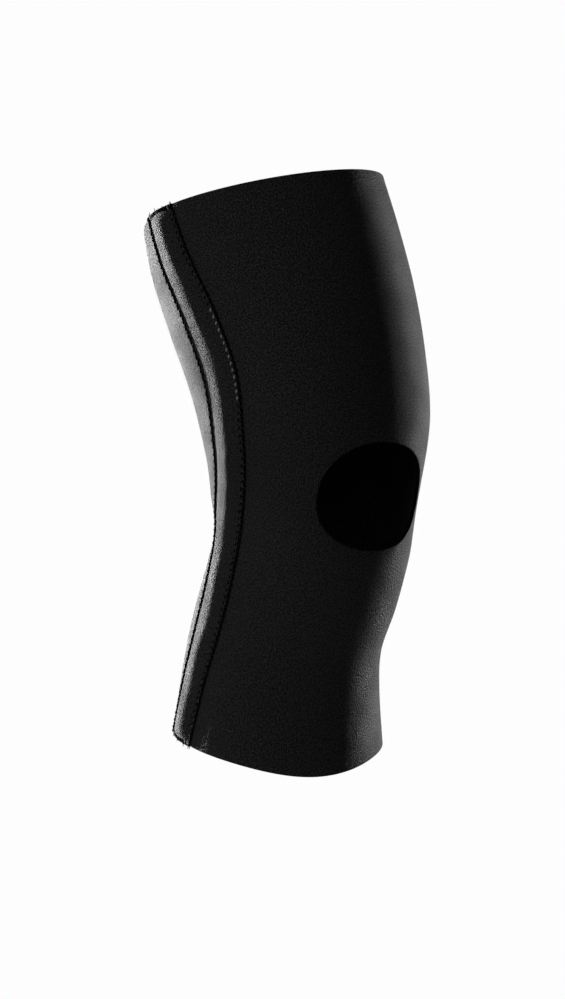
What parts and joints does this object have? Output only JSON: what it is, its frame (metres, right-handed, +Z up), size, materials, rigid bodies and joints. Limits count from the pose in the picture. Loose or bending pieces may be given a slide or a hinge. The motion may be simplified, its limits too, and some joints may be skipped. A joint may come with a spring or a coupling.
{
  "type": "knee sleeve",
  "caption": "Pull-on knit knee sleeve with an open kneecap hole and a padded strip over each side seam, in the shape that it takes on a slightly bent right knee.",
  "frame": {"origin": "middle of the knee's hollow, where the leg's middle line bends, 4 mm of leg below the kneecap hole's middle", "axes": "+Z up along the standing leg, -Y out of the front of the knee, -X to the outer side of a right leg"},
  "size_m": [0.1419, 0.1616, 0.3252],
  "materials": {
    "knit": "black fine stretch knit, soft matt",
    "padded_knit": "black brushed knit over thin foam"
  },
  "bodies": {
    "root": {"front_panel": "knit", "back_panel": "knit", "outer_side_strip": "padded_knit", "inner_side_strip": "padded_knit"}
  },
  "joints": []
}
